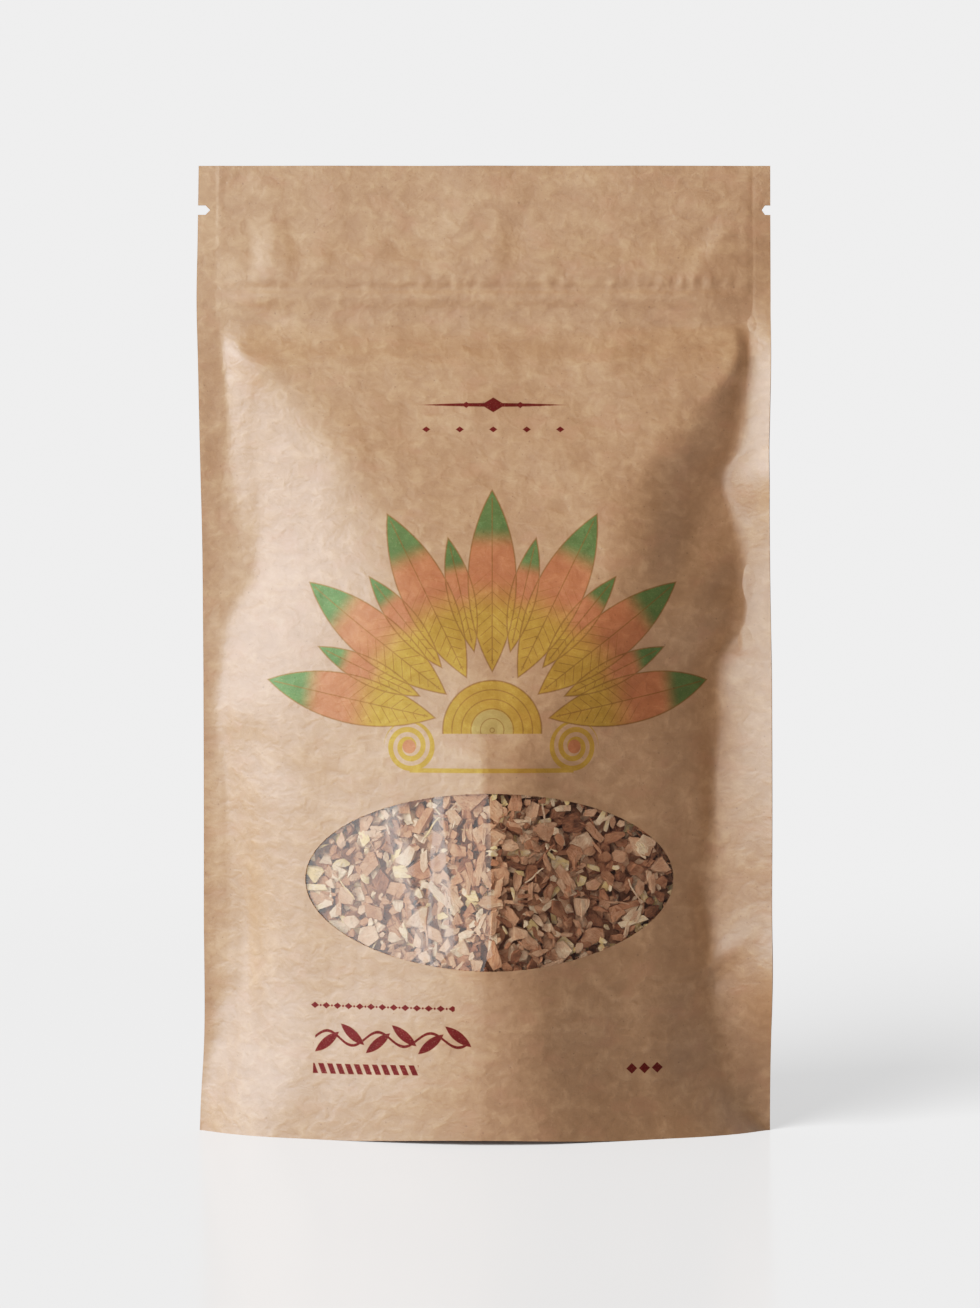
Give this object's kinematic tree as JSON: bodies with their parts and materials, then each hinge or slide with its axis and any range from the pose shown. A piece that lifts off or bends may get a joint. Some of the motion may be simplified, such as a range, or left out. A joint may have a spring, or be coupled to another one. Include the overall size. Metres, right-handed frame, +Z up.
{
  "type": "stand-up pouch of cut galangal root",
  "caption": "Filled kraft-paper stand-up pouch with an oval window, a press-to-close zip and tear notches, holding dry cut root",
  "frame": {"origin": "on the floor, at the centre of the box round the pouch", "axes": "+Z up; the front panel with the window faces -Y; +X to the right when looking at the front"},
  "size_m": [0.1612, 0.0662, 0.27],
  "materials": {
    "kraft_front": "unbleached kraft paper laminate, matt, printed",
    "kraft_back": "unbleached kraft paper laminate, matt",
    "kraft_gusset": "unbleached kraft paper laminate, matt",
    "clear_film": "clear glossy film",
    "zip_plastic": "translucent white plastic",
    "dry_root": "dry cut root, rough, tan to rusty brown"
  },
  "bodies": {
    "root": {"front_panel": "kraft_front", "back_panel": "kraft_back", "bottom_gusset": "kraft_gusset", "window_film": "clear_film", "zip_rib": "zip_plastic", "zip_channel": "zip_plastic", "cut_root": "dry_root"}
  },
  "joints": []
}
